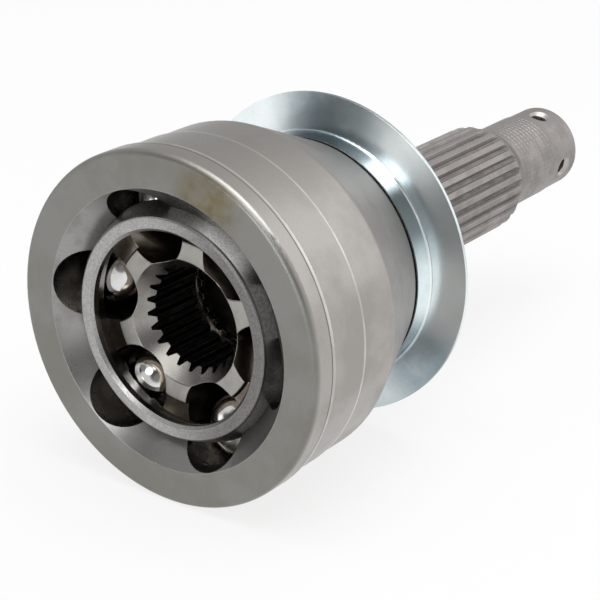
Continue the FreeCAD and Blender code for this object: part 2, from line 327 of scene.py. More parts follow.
class Wiring:
    """Adds nodes to one node tree.

    Attributes:
        tree: The tree.
    """

    def __init__(self, tree: bpy.types.NodeTree) -> None:
        """Takes the tree to add to.

        Args:
            tree: That tree.
        """
        self.tree = tree

    def feed(self, target: Socket, value: Socket | float | tuple) -> None:
        """Links a socket to another, or sets it to a value.

        Args:
            target: The socket that is fed.
            value: What feeds it.
        """
        if isinstance(value, bpy.types.NodeSocket):
            self.tree.links.new(value, target)
        elif isinstance(value, tuple) and len(value) == 3 and target.type == "RGBA":
            target.default_value = (*value, 1.0)
        else:
            target.default_value = value

    def vector(
            self, work: str, first: Socket, second: tuple = (0.0, 0.0, 0.0),
            scale: float = 1.0) -> Socket:
        """Adds a vector node.

        Args:
            work: Its operation.
            first: The vector that it works on.
            second: The other vector.
            scale: The factor of SCALE.

        Returns:
            Its result.
        """
        node = self.tree.nodes.new("ShaderNodeVectorMath")
        node.operation = work
        self.feed(node.inputs[0], first)
        self.feed(node.inputs[1], second)
        node.inputs[3].default_value = scale
        gives_number = work in ("LENGTH", "DOT_PRODUCT", "DISTANCE")
        return node.outputs[1 if gives_number else 0]

    def number(self, work: str, first: Socket | float, second: Socket | float = 0.0) -> Socket:
        """Adds a number node.

        Args:
            work: Its operation.
            first: The first number.
            second: The second number.

        Returns:
            Its result.
        """
        node = self.tree.nodes.new("ShaderNodeMath")
        node.operation = work
        self.feed(node.inputs[0], first)
        self.feed(node.inputs[1], second)
        return node.outputs[0]

    def both(self, first: Socket, second: Socket) -> Socket:
        """Is 1 where two masks both are."""
        return self.number("MULTIPLY", first, second)

    def ramp(
            self, value: Socket, start: float, end: float, low: float = 0.0,
            high: float = 1.0) -> Socket:
        """Turns a value smoothly from one number to another.

        Args:
            value: What is read.
            start: Where the turn starts.
            end: Where it ends.
            low: The number before the start.
            high: The number past the end.

        Returns:
            The result.
        """
        node = self.tree.nodes.new("ShaderNodeMapRange")
        node.interpolation_type = "SMOOTHSTEP"
        self.feed(node.inputs["Value"], value)
        node.inputs["From Min"].default_value = start
        node.inputs["From Max"].default_value = end
        node.inputs["To Min"].default_value = low
        node.inputs["To Max"].default_value = high
        return node.outputs["Result"]

    def near(self, value: Socket, target: Socket | float, width: float) -> Socket:
        """Is 1 where a value lies within a width of a target, and 0 beyond twice that width."""
        gap = self.number("ABSOLUTE", self.number("SUBTRACT", value, target))
        return self.ramp(gap, width, 2.0 * width, 1.0, 0.0)

    def blend(
            self, share: Socket, first: Socket | float | tuple,
            second: Socket | float | tuple) -> Socket:
        """Mixes two numbers or two colours.

        Args:
            share: How much of the second shows.
            first: What shows at 0.
            second: What shows at 1.

        Returns:
            The mix.
        """
        values = (first, second)
        coloured = any(getattr(v, "type", "") == "RGBA" or isinstance(v, tuple) for v in values)
        node = self.tree.nodes.new("ShaderNodeMix")
        node.data_type = "RGBA" if coloured else "FLOAT"
        slots = [s for s in node.inputs if s.enabled]
        for target, value in zip(slots, (share, *values)):
            self.feed(target, value)
        return next(s for s in node.outputs if s.enabled)


@dataclass
class Look:
    """How a surface looks, as node sockets.

    Attributes:
        colour: Its colour.
        roughness: Its roughness.
        height: Its height, in mm.
    """

    colour: Socket
    roughness: Socket
    height: Socket


class Desk(Wiring):
    """Builds one steel material out of nodes.

    Attributes:
        material: The material.
        metal: Its shader.
        place: The place on the piece, in mm.
        side: Its X.
        along: Its Y, along the joint's axis.
        up: Its Z.
        across: Its distance from the axis.
        looks: The looks made so far, by their finish.
    """

    NOISE_ROUGHNESS = 0.6
    PATCH_DETAIL = 5.0
    PATCH_NONE = 0.62
    PATCH_GAIN = 0.24
    PATCH_RIM = 0.1
    GRAIN_DETAIL = 2.0
    GRAIN_LOW = 0.3
    GRAIN_HIGH = 0.7
    GRAIN_SHADE = 0.35
    GRAIN_DARK = 0.82
    MARK_DETAIL = 2.0
    WEAR_START = 0.995
    WEAR_FULL = 0.93
    WEAR_SHARE = 0.8
    EDGE_SAMPLES = 6

    def __init__(self, name: str) -> None:
        """Starts a metal material.

        Args:
            name: The material's name.
        """
        self.material = bpy.data.materials.new(name)
        self.material.use_nodes = True
        super().__init__(self.material.node_tree)
        self.metal = self.tree.nodes["Principled BSDF"]
        self.metal.inputs["Metallic"].default_value = 1.0
        where = self.tree.nodes.new("ShaderNodeTexCoord").outputs["Object"]
        self.place = self.vector("SCALE", where, scale=1.0 / MM)
        parts = self.tree.nodes.new("ShaderNodeSeparateXYZ")
        self.tree.links.new(self.place, parts.inputs[0])
        self.side = parts.outputs["X"]
        self.along = parts.outputs["Y"]
        self.up = parts.outputs["Z"]
        flat = self.vector("MULTIPLY", self.place, (1.0, 0.0, 1.0))
        self.across = self.vector("LENGTH", flat)
        self.looks: dict[Finish, Look] = {}

    def noise(self, size: float, detail: float) -> Socket:
        """Adds a noise whose lumps have a given size.

        Args:
            size: The lumps' size, in mm.
            detail: How many finer layers it has.

        Returns:
            Its value, about 0.5 on average.
        """
        node = self.tree.nodes.new("ShaderNodeTexNoise")
        self.feed(node.inputs["Vector"], self.place)
        node.inputs["Scale"].default_value = 1.0 / size
        node.inputs["Detail"].default_value = detail
        node.inputs["Roughness"].default_value = self.NOISE_ROUGHNESS
        return node.outputs["Fac"]

    def away(self, point: Place) -> Socket:
        """Distance from a point, in mm."""
        return self.vector("DISTANCE", self.place, point)

    def fade(self, value: Socket, base: float, fade: Fade) -> Socket:
        """Turns from 0 to 1 over a fade that is measured from a base."""
        return self.ramp(value, base + fade.start, base + fade.full)

    def spot(self, spot: Spot) -> Socket:
        """Is 1 in a spot's core, and fades to 0 where its reach ends."""
        return self.ramp(self.away(spot.middle), spot.reach, spot.core)

    def whole(self, gaps: Gaps) -> Socket:
        """Is 1 between the gaps in a spot, and less inside them."""
        return self.ramp(self.noise(gaps.size, gaps.detail), gaps.low, gaps.high, gaps.faintest)

    def cone(self, start_y: float, radius: float, half_angle: float) -> Socket:
        """Radius of a cone round the joint's axis, which narrows towards +Y.

        Args:
            start_y: Where the cone starts.
            radius: Its radius there.
            half_angle: Its half angle, in degrees.

        Returns:
            The radius, at each place along the axis.
        """
        slope = math.tan(math.radians(half_angle))
        depth = self.number("SUBTRACT", self.along, start_y)
        return self.number("SUBTRACT", radius, self.number("MULTIPLY", depth, slope))

    def marks(self, finish: Finish) -> Socket | float:
        """Height of a turning tool's marks: rings on a face, and rings along a barrel.

        Args:
            finish: The finish that may have them.

        Returns:
            Their height, in mm.
        """
        if finish.marks is Marks.NONE:
            return 0.0
        node = self.tree.nodes.new("ShaderNodeTexNoise")
        node.noise_dimensions = "1D"
        self.feed(node.inputs["W"], self.number("ADD", self.along, self.across))
        node.inputs["Scale"].default_value = 1.0 / finish.mark_pitch
        node.inputs["Detail"].default_value = self.MARK_DETAIL
        return self.number("MULTIPLY", node.outputs["Fac"], finish.mark_depth)

    def look(self, finish: Finish) -> Look:
        """Makes a finish's colour, roughness and height, once.

        Args:
            finish: The finish.

        Returns:
            Its sockets.
        """
        if finish not in self.looks:
            middle = self.PATCH_NONE - self.PATCH_GAIN * finish.patch_share
            lumps = self.noise(finish.patch_size, self.PATCH_DETAIL)
            patches = self.ramp(lumps, middle - self.PATCH_RIM, middle + self.PATCH_RIM)
            grain = self.noise(finish.grain_size, self.GRAIN_DETAIL)
            shade = self.ramp(grain, self.GRAIN_LOW, self.GRAIN_HIGH)
            colour = self.blend(patches, finish.colour, finish.patch)
            darker = tuple(self.GRAIN_DARK * c for c in finish.colour)
            colour = self.blend(self.number("MULTIPLY", shade, self.GRAIN_SHADE), colour, darker)
            roughness = self.blend(patches, finish.roughness, finish.patch_roughness)
            grain_height = self.number("MULTIPLY", grain, finish.grain)
            height = self.number("ADD", grain_height, self.marks(finish))
            self.looks[finish] = Look(colour, roughness, height)
        return self.looks[finish]

    def cover(self, under: Look, finish: Finish, share: Socket) -> Look:
        """Lays a finish over a look where a mask says so.

        Args:
            under: The look below.
            finish: The finish on top.
            share: The mask.

        Returns:
            The two as one.
        """
        over = self.look(finish)
        return Look(
            self.blend(share, under.colour, over.colour),
            self.blend(share, under.roughness, over.roughness),
            self.blend(share, under.height, over.height))

    def close(self, look: Look, edge: Edge) -> bpy.types.Material:
        """Links a look to the metal, with softened and worn edges.

        Args:
            look: The finished look.
            edge: How the edges look.

        Returns:
            The material.
        """
        soft = self.tree.nodes.new("ShaderNodeBevel")
        soft.samples = self.EDGE_SAMPLES
        soft.inputs["Radius"].default_value = edge.radius * MM
        colour = look.colour
        if edge.worn is not None:
            plain = self.tree.nodes.new("ShaderNodeNewGeometry").outputs["Normal"]
            turn = self.vector("DOT_PRODUCT", soft.outputs["Normal"], plain)
            worn = self.ramp(turn, self.WEAR_START, self.WEAR_FULL)
            colour = self.blend(self.number("MULTIPLY", worn, self.WEAR_SHARE), colour, edge.worn)
        self.feed(self.metal.inputs["Base Color"], colour)
        self.feed(self.metal.inputs["Roughness"], look.roughness)
        bump = self.tree.nodes.new("ShaderNodeBump")
        bump.inputs["Distance"].default_value = MM
        self.feed(bump.inputs["Height"], look.height)
        self.feed(bump.inputs["Normal"], soft.outputs["Normal"])
        self.feed(self.metal.inputs["Normal"], bump.outputs["Normal"])
        return self.material


def dress(node: str, material: bpy.types.Material) -> None:
    """Gives a frame node its material.

    Args:
        node: The frame node's name.
        material: The material for all its slots.
    """
    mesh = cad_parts[node].data
    mesh.materials.clear()
    mesh.materials.append(material)
    log.info("%s: %s", node, material.name)


# --------------------------------------------------------------------------
# The joint's sub-assemblies
# --------------------------------------------------------------------------


@dataclass(frozen=True)
class PaintedEdgeLine:
    """A line that a tool turned round the bell.

    Attributes:
        depth: Its distance behind the front face.
        width: Half its width.
        finish: Its finish, a painted highlight or a painted shade.
    """

    depth: float
    width: float
    finish: Finish


@dataclass
class Forging:
    """The outer race: a bell with a splined stub, forged in one and turned.

    Attributes:
        mouth_radius: Radius of the mouth at the front face.
        mouth_cone: Half angle of the mouth's cone.
        cone_width: How near the cone a place is painted as the cone.
        pale: The X over which the cone is painted paler, as painted light on its -X side.
        cavity_radius: A radius between the deepest track and the bell's outside.
        cavity_rear: Y behind the deepest point of the cavity.
        cavity_side: How its finish fades out across that radius.
        cavity_end: How its finish fades out at the rear.
        cavity_front: How it fades in behind the front face.
        dark: The depth behind the front face over which the cavity's painted shade deepens.
        body_end: Where the shoulder behind the body starts, measured from the face.
        shoulder_inner: A radius between the shoulder and what lies inside it.
        shoulder_rear: How the shoulder's finish fades in behind the body.
        shoulder_side: How it fades in across that radius.
        face_skin: How the front face's finish fades in, from behind the face.
        stain_skin: How the stain on it fades in.
        stain: The stain's place, seen from the front: to the side and up.
        stain_reach: How far the stain reaches.
        stain_core: How far it is at its strongest.
        stain_gaps: The gaps in it.
        outer_skin: How the painted lines fade in, off the cavity's radius.
        painted_edge_lines: The painted highlight and painted shade lines along the step edges round
            the land and the boot's band.
        spline_root: Radius at the roots of the stub's teeth.
        spline_start: Where the teeth start on the stub.
        spline_end: Where they end.
        root_skin: How the roots' painted shade fades in, down to their radius.
        root_end: How it fades out at the end of the teeth.
        root_start: How it fades in at their start.
        stub_skin: How the stub's finish fades in, along the joint's axis.
        thread_radius: Radius of the nut's thread.
        thread_start: Where the thread starts on the stub.
        thread_length: Its length.
        thread_pitch: Its pitch.
        thread_height: How far its crests stand proud.
        thread_sunk: How far its foot lies under the stub's skin.
        thread_foot: Half the width of its foot, as a share of its pitch.
        thread_crest: Width of its crest, as a share of its foot's.
        thread_steps: Steps to one turn of it.
        hole_y: Where the pin holes cross the stub.
        hole_angles: Their angles from +X towards +Z, in degrees.
        hole_sink: Radius of their countersinks.
        hole_side: How their walls' painted glint fades in, from that radius.
        end_radius: Radius of the stub where they are.
        hole_skin: How their walls' painted glint fades in, under that radius.
        face_y: Y of the front face, from the frame.
    """

    mouth_radius: float = 31.8
    mouth_cone: float = 44.0
    cone_width: float = 0.06
    pale: Fade = Fade(-8.0, -26.0)
    cavity_radius: float = 36.0
    cavity_rear: float = -20.0
    cavity_side: Fade = Fade(0.2, -0.2)
    cavity_end: Fade = Fade(0.0, -1.0)
    cavity_front: Fade = Fade(0.02, 0.06)
    dark: Fade = Fade(25.0, 30.0)
    body_end: float = 29.4
    shoulder_inner: float = 27.0
    shoulder_rear: Fade = Fade(-0.6, 1.0)
    shoulder_side: Fade = Fade(-1.0, 0.0)
    face_skin: Fade = Fade(1.5, 0.3)
    stain_skin: Fade = Fade(0.5, 0.1)
    stain: tuple[float, float] = (13.0, 32.5)
    stain_reach: float = 11.0
    stain_core: float = 1.5
    stain_gaps: Gaps = Gaps(size=4.0, detail=5.0, low=0.35, high=0.65, faintest=0.35)
    outer_skin: Fade = Fade(0.0, 1.0)
    # Painted highlight and painted shade lines, at their depths behind the face.
    painted_edge_lines: tuple[PaintedEdgeLine, ...] = (
        PaintedEdgeLine(6.0, 0.32, PAINTED_EDGE_HIGHLIGHT),
        PaintedEdgeLine(17.95, 0.2, PAINTED_EDGE_HIGHLIGHT),
        PaintedEdgeLine(5.25, 0.12, PAINTED_EDGE_SHADE),
    )
    spline_root: float = 12.75
    spline_start: float = 18.0
    spline_end: float = 72.4
    root_skin: Fade = Fade(0.45, 0.1)
    root_end: Fade = Fade(0.0, -1.5)
    root_start: Fade = Fade(0.0, 1.0)
    stub_skin: Fade = Fade(-0.4, 0.4)
    thread_radius: float = 11.0
    thread_start: float = 73.6
    thread_length: float = 15.4
    thread_pitch: float = 1.5
    thread_height: float = 0.013
    thread_sunk: float = 0.05
    thread_foot: float = 0.42
    thread_crest: float = 0.3
    thread_steps: int = 72
    hole_y: float = 94.6
    hole_angles: tuple[float, ...] = (77.0, -13.0)
    hole_sink: float = 3.0
    hole_side: Fade = Fade(0.05, -0.05)
    end_radius: float = 10.8
    hole_skin: Fade = Fade(-0.02, -0.12)
    face_y: float = field(init=False)

    def __post_init__(self) -> None:
        """Takes the front face's place from the frame."""
        self.face_y = box_mm("outer_race")[0].y

    def material(self) -> bpy.types.Material:
        """Paints the bell, its face, its mouth and its stub.

        Returns:
            The material of the whole forging.
        """
        desk = Desk("forged_steel")
        look = desk.look(TURNED_BELL)
        look = desk.cover(look, TURNED_FACE, desk.fade(desk.along, self.face_y, self.face_skin))
        look = desk.cover(look, OIL_STAIN, self.stain_mask(desk))
        look = self.mouth(desk, look)
        look = self.barrel(desk, look)
        look = self.stub(desk, look)
        return desk.close(look, FORGING_EDGE)

    def mouth(self, desk: Desk, look: Look) -> Look:
        """Paints the cavity, with painted shade that deepens with its depth, and the mouth's cone,
        which is painted paler towards -X as painted light.

        Args:
            desk: The forging's material.
            look: What is painted so far.

        Returns:
            The look with the mouth.
        """
        within = desk.fade(desk.across, self.cavity_radius, self.cavity_side)
        before_rear = desk.fade(desk.along, self.cavity_rear, self.cavity_end)
        past_face = desk.fade(desk.along, self.face_y, self.cavity_front)
        inside = desk.both(within, desk.both(before_rear, past_face))
        look = desk.cover(look, OILED_CAVITY, inside)
        # Painted shade: the cavity turns near black the deeper it lies behind the face.
        far_in = desk.fade(desk.along, self.face_y, self.dark)
        look = desk.cover(look, PAINTED_DEPTH_SHADE, desk.both(inside, far_in))
        cone_radius = desk.cone(self.face_y, self.mouth_radius, self.mouth_cone)
        on_cone = desk.both(desk.near(desk.across, cone_radius, self.cone_width), inside)
        look = desk.cover(look, OILED_CONE, on_cone)
        # Painted light: the cone is painted paler towards -X.
        pale = desk.fade(desk.side, 0.0, self.pale)
        return desk.cover(look, PAINTED_LIGHT_CONE, desk.both(on_cone, pale))

    def barrel(self, desk: Desk, look: Look) -> Look:
        """Paints the forged shoulder, and the painted highlight and painted shade lines along the
        steps' edges round the bell.

        Args:
            desk: The forging's material.
            look: What is painted so far.

        Returns:
            The look with the barrel.
        """
        behind_body = desk.fade(desk.along, self.face_y + self.body_end, self.shoulder_rear)
        off_axis = desk.fade(desk.across, self.shoulder_inner, self.shoulder_side)
        look = desk.cover(look, FORGED_SHOULDER, desk.both(behind_body, off_axis))
        outside = desk.fade(desk.across, self.cavity_radius, self.outer_skin)
        # Painted highlights and painted shade along the step edges.
        for line in self.painted_edge_lines:
            here = desk.near(desk.along, self.face_y + line.depth, line.width)
            look = desk.cover(look, line.finish, desk.both(here, outside))
        return look

    def stub(self, desk: Desk, look: Look) -> Look:
        """Paints the stub, painted shade in the roots between its teeth, and a painted glint on the
        walls of its holes.

        Args:
            desk: The forging's material.
            look: What is painted so far.

        Returns:
            The look with the stub.
        """
        look = desk.cover(look, BLASTED_STUB, desk.fade(desk.along, 0.0, self.stub_skin))
        low = desk.fade(desk.across, self.spline_root, self.root_skin)
        before_end = desk.fade(desk.along, self.spline_end, self.root_end)
        past_start = desk.fade(desk.along, self.spline_start, self.root_start)
        # Painted shade in the roots of the teeth.
        roots = desk.both(desk.both(low, before_end), past_start)
        look = desk.cover(look, PAINTED_ROOT_SHADE, roots)
        # Painted glint on the pin holes' walls.
        return desk.cover(look, PAINTED_HOLE_GLINT, self.hole_mask(desk))

    def stain_mask(self, desk: Desk) -> Socket:
        """Where the front face is stained: a streak on its upper right, broken up by noise.

        Args:
            desk: The forging's material.

        Returns:
            The mask.
        """
        middle = (self.stain[0], self.face_y, self.stain[1])
        streak = desk.spot(Spot(middle, self.stain_reach, self.stain_core))
        on_face = desk.fade(desk.along, self.face_y, self.stain_skin)
        return desk.both(desk.both(streak, desk.whole(self.stain_gaps)), on_face)

    def hole_mask(self, desk: Desk) -> Socket:
        """Where the pin holes' walls are: close to a hole's axis and under the stub's skin.

        Args:
            desk: The forging's material.

        Returns:
            The mask.
        """
        from_middle = desk.vector("SUBTRACT", desk.place, (0.0, self.hole_y, 0.0))
        total: Socket | float = 0.0
        for angle in self.hole_angles:
            way = (math.cos(math.radians(angle)), 0.0, math.sin(math.radians(angle)))
            off_axis = desk.vector("LENGTH", desk.vector("CROSS_PRODUCT", from_middle, way))
            in_hole = desk.fade(off_axis, self.hole_sink, self.hole_side)
            total = desk.number("MAXIMUM", in_hole, total)
        under_skin = desk.fade(desk.across, self.end_radius, self.hole_skin)
        return desk.both(total, under_skin)

    def thread(self) -> bpy.types.Object:
        """Winds the nut's thread round the stub: a closed ridge on a helix.

        Returns:
            The thread.
        """
        turns = self.thread_length / self.thread_pitch
        foot = self.thread_radius - self.thread_sunk
        crest = self.thread_radius + self.thread_height
        half_foot = self.thread_pitch * self.thread_foot
        half_crest = half_foot * self.thread_crest
        corners = ((foot, -half_foot), (crest, -half_crest), (crest, half_crest), (foot, half_foot))
        bm = bmesh.new()
        ring = [bm.verts.new((r, self.thread_start + y, 0.0)) for r, y in corners]
        bm.faces.new(ring)
        rise = self.thread_pitch / self.thread_steps
        bmesh.ops.spin(
            bm, geom=bm.faces[:], cent=ORIGIN, axis=AXIS, dvec=AXIS * rise, angle=FULL_TURN * turns,
            steps=round(turns * self.thread_steps), use_merge=False, use_duplicate=False)
        bmesh.ops.recalc_face_normals(bm, faces=bm.faces[:])
        bmesh.ops.scale(bm, vec=(MM, MM, MM), verts=bm.verts[:])
        mesh = bpy.data.meshes.new("nut_thread")
        bm.to_mesh(mesh)
        bm.free()
        piece = bpy.data.objects.new("nut_thread", mesh)
        bpy.context.scene.collection.objects.link(piece)
        return piece

    def build(self) -> None:
        """Dresses the forging and adds its thread."""
        material = self.material()
        dress("outer_race", material)
        thread = self.thread()
        thread.data.materials.append(material)
        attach(thread, "outer")
        log.info("nut_thread: %s", material.name)


@dataclass
class Shield:
    """The pressed dust shield, bright zinc plated.

    Attributes:
        painted_dark: Where the zinc is painted darker, as painted dark reflections.
        painted_bright: Where it is painted brighter, as painted bright reflections.
        brushing: How strongly the brushing stretches the gloss.
        brushing_turn: The brushing's turn from the tangent, in turns.
        painted_dark_gaps: The gaps in the painted dark reflections.
        gap_shade_skin: How the painted shade line at the collar's front fades in, behind that
            front.
        collar_y: Y of that front, from the frame.
    """

    # Painted dark reflections, at fixed places round the shield.
    painted_dark: tuple[Spot, ...] = (
        Spot((1.5, -2.0, 35.5), reach=17.0, core=5.1),
        Spot((28.0, -2.0, -20.5), reach=15.0, core=4.5),
        Spot((-30.0, -2.0, -18.0), reach=14.0, core=4.2),
    )
    # Painted bright reflections.
    painted_bright: tuple[Spot, ...] = (
        Spot((32.3, -2.0, -2.0), reach=15.0, core=4.5),
        Spot((-21.4, -2.0, 31.7), reach=14.0, core=4.2),
    )
    brushing: float = 0.8
    brushing_turn: float = 0.25
    painted_dark_gaps: Gaps = Gaps(size=9.0, detail=3.0, low=0.25, high=0.6, faintest=0.55)
    gap_shade_skin: Fade = Fade(0.35, 0.2)
    collar_y: float = field(init=False)

    def __post_init__(self) -> None:
        """Takes the collar's front from the frame."""
        self.collar_y = box_mm("dust_shield")[0].y

    def build(self) -> None:
        """Dresses the shield in brushed zinc, with painted dark and bright reflections and a
        painted shade line at the collar's front.
        """
        desk = Desk("bright_zinc")
        look = desk.look(BRUSHED_ZINC)
        # Painted reflections: dark and bright sectors laid on the zinc.
        broken = desk.whole(self.painted_dark_gaps)
        for spot in self.painted_dark:
            look = desk.cover(look, PAINTED_DARK_REFLECTION, desk.both(desk.spot(spot), broken))
        for spot in self.painted_bright:
            look = desk.cover(look, PAINTED_BRIGHT_REFLECTION, desk.spot(spot))
        # Painted shade: the collar's front edge painted black as the gap's shadow.
        gap_shade = desk.fade(desk.along, self.collar_y, self.gap_shade_skin)
        look = desk.cover(look, PAINTED_GAP_SHADE, gap_shade)
        desk.metal.inputs["Anisotropic"].default_value = self.brushing
        desk.metal.inputs["Anisotropic Rotation"].default_value = self.brushing_turn
        lay = desk.tree.nodes.new("ShaderNodeTangent")
        lay.direction_type = "RADIAL"
        lay.axis = "Y"
        desk.feed(desk.metal.inputs["Tangent"], lay.outputs["Tangent"])
        dress("dust_shield", desk.close(look, SHIELD_EDGE))


@dataclass
class Cage:
    """The ball cage, hardened and ground.

    Attributes:
        outer_radius: Radius of its outer sphere.
        inner_radius: Radius of its inner sphere.
        inner_skin: How the inner sphere's finish fades in, from that radius.
        outer_skin: How the outer sphere's finish fades in.
        rim_skin: How the rim's finish fades in, behind the rim.
        painted_highlight: Where the outer sphere is painted bright, as a painted highlight.
        painted_dark: The X over which the rim is painted darker, as painted shade on its +X side.
        centre_y: Y of its middle, from the frame.
        rim_y: Y of its rim, from the frame.
    """

    outer_radius: float = 28.70
    inner_radius: float = 24.95
    inner_skin: Fade = Fade(0.15, 0.05)
    outer_skin: Fade = Fade(-0.15, -0.05)
    rim_skin: Fade = Fade(0.8, 0.7)
    # Place of the painted highlight on the outer sphere.
    painted_highlight: Spot = Spot((14.0, -56.0, 22.0), reach=10.5, core=3.5)
    # Over this X the rim takes its painted shade.
    painted_dark: Fade = Fade(-6.0, 17.0)
    centre_y: float = field(init=False)
    rim_y: float = field(init=False)

    def __post_init__(self) -> None:
        """Takes the cage's middle and rim from the frame."""
        low, high = box_mm("cage")
        self.centre_y = (low.y + high.y) / 2
        self.rim_y = low.y

    def build(self) -> None:
        """Dresses the cage: a ground rim with painted shade towards +X, a mottled outside with a
        painted highlight, and darker insides.
        """
        desk = Desk("hardened_steel")
        look = desk.look(WINDOW_WALL)
        out = desk.away((0.0, self.centre_y, 0.0))
        inner_sphere = desk.fade(out, self.inner_radius, self.inner_skin)
        look = desk.cover(look, CAGE_INSIDE, inner_sphere)
        outer_sphere = desk.fade(out, self.outer_radius, self.outer_skin)
        look = desk.cover(look, CAGE_OUTSIDE, outer_sphere)
        # Painted highlight on the outer sphere.
        look = desk.cover(look, PAINTED_CAGE_HIGHLIGHT, desk.both(desk.spot(self.painted_highlight), outer_sphere))
        on_rim = desk.fade(desk.along, self.rim_y, self.rim_skin)
        look = desk.cover(look, GROUND_RIM, on_rim)
        # Painted shade: the rim darkens towards +X.
        painted_dark = desk.fade(desk.side, 0.0, self.painted_dark)
        look = desk.cover(look, PAINTED_RIM_SHADE, desk.both(on_rim, painted_dark))
        dress("cage", desk.close(look, CAGE_EDGE))


@dataclass
class InnerRace:
    """The inner race, with its toothed bore.

    Attributes:
        outer_radius: Radius of its sphere.
        countersink_radius: Radius of the bore's countersink at the front.
        countersink_angle: Half angle of the countersink.
        bore_radius: Radius at the roots of the bore's teeth.
        clip_groove: How far the circlip groove's far edge lies from the rear face.
        clip_lit: The Z over which the groove's edge is painted bright, downwards, as a painted
            highlight on its lower part.
        sphere_skin: How the lands' finish fades in, up to the sphere.
        front_skin: How the front's finish fades in, behind the front.
        bore_skin: How the bore's finish fades in, down to its radius.
        sink_width: How near the countersink a place is painted as it.
        clip_width: The same for the groove's edge.
        clip_skin: How that painted highlight fades in, down to the bore's radius.
        centre_y: Y of its middle, from the frame.
        front_y: Y of its front, from the frame.
        clip_groove_y: Y of the groove's far edge, from the frame.
    """

    outer_radius: float = 24.90
    countersink_radius: float = 14.54
    countersink_angle: float = 36.5
    bore_radius: float = 12.5
    clip_groove: float = 2.4
    clip_lit: Fade = Fade(-1.0, -5.0)
    sphere_skin: Fade = Fade(-0.12, -0.04)
    front_skin: Fade = Fade(0.25, 0.1)
    bore_skin: Fade = Fade(0.25, 0.1)
    sink_width: float = 0.08
    clip_width: float = 0.06
    clip_skin: Fade = Fade(0.5, 0.4)
    centre_y: float = field(init=False)
    front_y: float = field(init=False)
    clip_groove_y: float = field(init=False)

    def __post_init__(self) -> None:
        """Takes the race's middle and its two faces from the frame."""
        low, high = box_mm("ball_1")
        self.centre_y = (low.y + high.y) / 2
        front, rear = box_mm("inner_race")
        self.front_y = front.y
        self.clip_groove_y = rear.y - self.clip_groove

    def build(self) -> None:
        """Dresses the race: ground lands, oiled tracks, a near-black bore and a painted highlight
        on the lower part of the circlip groove's edge.
        """
        desk = Desk("race_steel")
        look = desk.look(OILED_TRACK)
        out = desk.away((0.0, self.centre_y, 0.0))
        on_sphere = desk.fade(out, self.outer_radius, self.sphere_skin)
        look = desk.cover(look, GROUND_SPHERE, on_sphere)
        front = desk.fade(desk.along, self.front_y, self.front_skin)
        look = desk.cover(look, GROUND_LAND, front)
        in_bore = desk.fade(desk.across, self.bore_radius, self.bore_skin)
        look = desk.cover(look, BLACK_BORE, in_bore)
        sink_radius = desk.cone(self.front_y, self.countersink_radius, self.countersink_angle)
        look = desk.cover(look, COUNTERSINK, desk.near(desk.across, sink_radius, self.sink_width))
        # Painted highlight: the groove's edge is painted lighter only low down.
        clip_edge = desk.near(desk.along, self.clip_groove_y, self.clip_width)
        at_teeth = desk.fade(desk.across, self.bore_radius, self.clip_skin)
        lit = desk.fade(desk.up, 0.0, self.clip_lit)
        look = desk.cover(look, PAINTED_CLIP_EDGE_HIGHLIGHT, desk.both(clip_edge, desk.both(at_teeth, lit)))
        dress("inner_race", desk.close(look, RACE_EDGE))


@dataclass
class Balls:
    """The six polished balls.

    Attributes:
        count: How many there are.
    """

    count: int = 6

    def build(self) -> None:
        """Dresses every ball in polished steel with a trace of grease."""
        desk = Desk("ball_steel")
        material = desk.close(desk.look(POLISHED_BALL), BALL_EDGE)
        for number in range(1, self.count + 1):
            dress(f"ball_{number}", material)


# --------------------------------------------------------------------------
# Studio
# --------------------------------------------------------------------------


@dataclass(frozen=True)
class Card:
    """A bright or dark card in the tent, as the metal sees it.

    Attributes:
        azimuth: Its direction round +Z, from +X towards +Y, in degrees.
        elevation: Its height above the horizon, in degrees.
        inner: Half angle of its even middle, in degrees.
        outer: Half angle where it has faded out, in degrees.
        light: What it adds to the tent's white, negative for a dark card.
    """

    azimuth: float
    elevation: float
    inner: float
    outer: float
    light: float

    def wire(self, wiring: Wiring, ways: Socket) -> Socket:
        """Adds the card to the tent.

        Args:
            wiring: The world's nodes.
            ways: The direction that is looked at.

        Returns:
            What the card adds to the light from that direction.
        """
        azimuth = math.radians(self.azimuth)
        elevation = math.radians(self.elevation)
        flat = math.cos(elevation)
        way = (flat * math.cos(azimuth), flat * math.sin(azimuth), math.sin(elevation))
        dot = wiring.vector("DOT_PRODUCT", ways, way)
        rim, middle = math.cos(math.radians(self.outer)), math.cos(math.radians(self.inner))
        return wiring.ramp(dot, rim, middle, 0.0, self.light)


